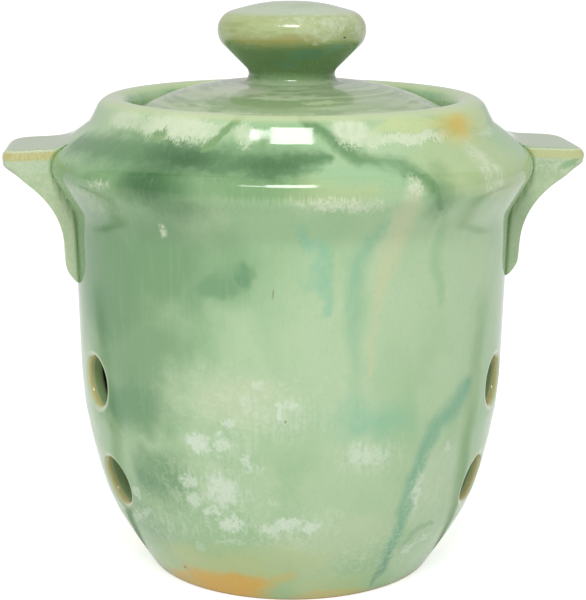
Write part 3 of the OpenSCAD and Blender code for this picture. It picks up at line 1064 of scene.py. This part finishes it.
# gloss also shows the dark edge of the paper, which runs back from the pot on both sides: it starts
# at EDGE_TURN from the front and turns EDGE_SPREAD further for each metre out
PAPER = (0.88, 0.88, 0.88, 1)
PAPER_EDGE = (0.30, 0.32, 0.30, 1)
GLOW_TO_CAMERA = 0.62
GLOW_IN_GLOSS = 0.35
EDGE_TURN = math.radians(85)
EDGE_SPREAD = 1.05
EDGE_CORE = math.radians(1)
EDGE_FADE = math.radians(10)
EDGE_NEAR = 0.36
EDGE_FAR = 0.60
paper = bpy.data.materials.new("white_paper")
paper.use_nodes = True
tree = paper.node_tree
tree.nodes.clear()
path = tree.nodes.new("ShaderNodeLightPath").outputs
x, y, _ = parted(tree.nodes.new("ShaderNodeTexCoord").outputs["Object"])
turn = calc("ABSOLUTE", calc("ADD", turn_from_front(x, y), CAMERA_TURN))
distance = vector("LENGTH", joined(x, y))
edge = calc("MULTIPLY_ADD", distance, EDGE_SPREAD, EDGE_TURN)
off = calc("ABSOLUTE", calc("SUBTRACT", turn, edge))
gap = times(step(off, EDGE_FADE, EDGE_CORE), path["Is Glossy Ray"])
gap = times(gap, step(distance, EDGE_FAR, EDGE_NEAR))
diffuse = tree.nodes.new("ShaderNodeBsdfDiffuse")
feed(diffuse.inputs["Color"], tint(PAPER, PAPER_EDGE, gap))
glow = tree.nodes.new("ShaderNodeEmission")
seen = times(path["Is Camera Ray"], GLOW_TO_CAMERA)
seen = calc("MULTIPLY_ADD", path["Is Glossy Ray"], GLOW_IN_GLOSS, seen)
feed(glow.inputs["Strength"], times(seen, calc("SUBTRACT", 1, gap)))
both = tree.nodes.new("ShaderNodeAddShader")
tree.links.new(diffuse.outputs[0], both.inputs[0])
tree.links.new(glow.outputs[0], both.inputs[1])
tree.links.new(both.outputs[0], tree.nodes.new("ShaderNodeOutputMaterial").inputs["Surface"])
floor_mesh.materials.append(paper)

# the room gives a soft light from all round, and gloss shows a grey room in front, a dark gap to
# each side of it and the white backdrop behind
ROOM_LIGHT = 0.74
ROOM_GLOSS = 0.62
GAP_GLOSS = 0.12
BACKDROP_GLOSS = 0.78
world = bpy.data.worlds.new("studio")
scene.world = world
world.use_nodes = True
tree = world.node_tree
tree.nodes.clear()
path = tree.nodes.new("ShaderNodeLightPath").outputs
x, y, _ = parted(tree.nodes.new("ShaderNodeTexCoord").outputs["Generated"])
turn = calc("ABSOLUTE", calc("ADD", turn_from_front(x, y), CAMERA_TURN))
gap = step(turn, math.radians(93), math.radians(97))
backdrop = step(turn, math.radians(112), math.radians(117))
gloss = calc("MULTIPLY_ADD", gap, GAP_GLOSS - ROOM_GLOSS, ROOM_GLOSS)
gloss = calc("MULTIPLY_ADD", backdrop, BACKDROP_GLOSS - GAP_GLOSS, gloss)
white = calc("MAXIMUM", path["Is Camera Ray"], path["Is Transmission Ray"])
level = calc("SUBTRACT", gloss, ROOM_LIGHT)
level = calc("MULTIPLY_ADD", path["Is Glossy Ray"], level, ROOM_LIGHT)
level = calc("MAXIMUM", level, white)
light = tree.nodes.new("ShaderNodeBackground")
feed(light.inputs["Strength"], level)
tree.links.new(light.outputs[0], tree.nodes.new("ShaderNodeOutputWorld").inputs["Surface"])


def softbox(name, at, target, wide, high, power):
    """A rectangular area light in metres and watts."""
    light = bpy.data.lights.new(name, "AREA")
    light.shape = "RECTANGLE"
    light.size, light.size_y = wide, high
    light.energy = power
    lamp = bpy.data.objects.new(name, light)
    lamp.location = at
    lamp.rotation_euler = (Vector(target) - Vector(at)).to_track_quat("-Z", "Y").to_euler()
    scene.collection.objects.link(lamp)


BOX_DISTANCE = 0.95
BOX_RISE = math.radians(45)
SMALL_BOX_ASIDE = 0.25
aim = Vector((0, 0, 0.17))
towards = Vector((-math.sin(CAMERA_TURN), -math.cos(CAMERA_TURN), 0))
leftwards = Vector((-math.cos(CAMERA_TURN), math.sin(CAMERA_TURN), 0))
above = Vector((0, 0, BOX_DISTANCE * math.sin(BOX_RISE)))
at = aim + towards * BOX_DISTANCE * math.cos(BOX_RISE) + above
softbox("front_softbox", at, aim, wide=0.32, high=0.20, power=3.2)
softbox("small_softbox", at + leftwards * SMALL_BOX_ASIDE, aim, wide=0.16, high=0.05, power=0.4)

camera = bpy.data.cameras.new("camera")
camera.lens = FOCAL_PX / PHOTO_H * SENSOR_MM
camera.sensor_width = SENSOR_MM
camera.shift_x = AXIS_SHIFT_PX / PHOTO_H
camera_object = bpy.data.objects.new("camera", camera)
standing = Matrix.Translation(towards * CAMERA_DISTANCE + Vector((0, 0, CAMERA_HEIGHT)))
facing = Matrix.Rotation(-CAMERA_TURN, 4, "Z")
tipped = Matrix.Rotation(math.pi / 2 - CAMERA_PITCH, 4, "X")
rolled = Matrix.Rotation(CAMERA_ROLL, 4, "Z")
camera_object.matrix_world = standing @ facing @ tipped @ rolled
scene.collection.objects.link(camera_object)
scene.camera = camera_object
scene.view_settings.view_transform = "Standard"
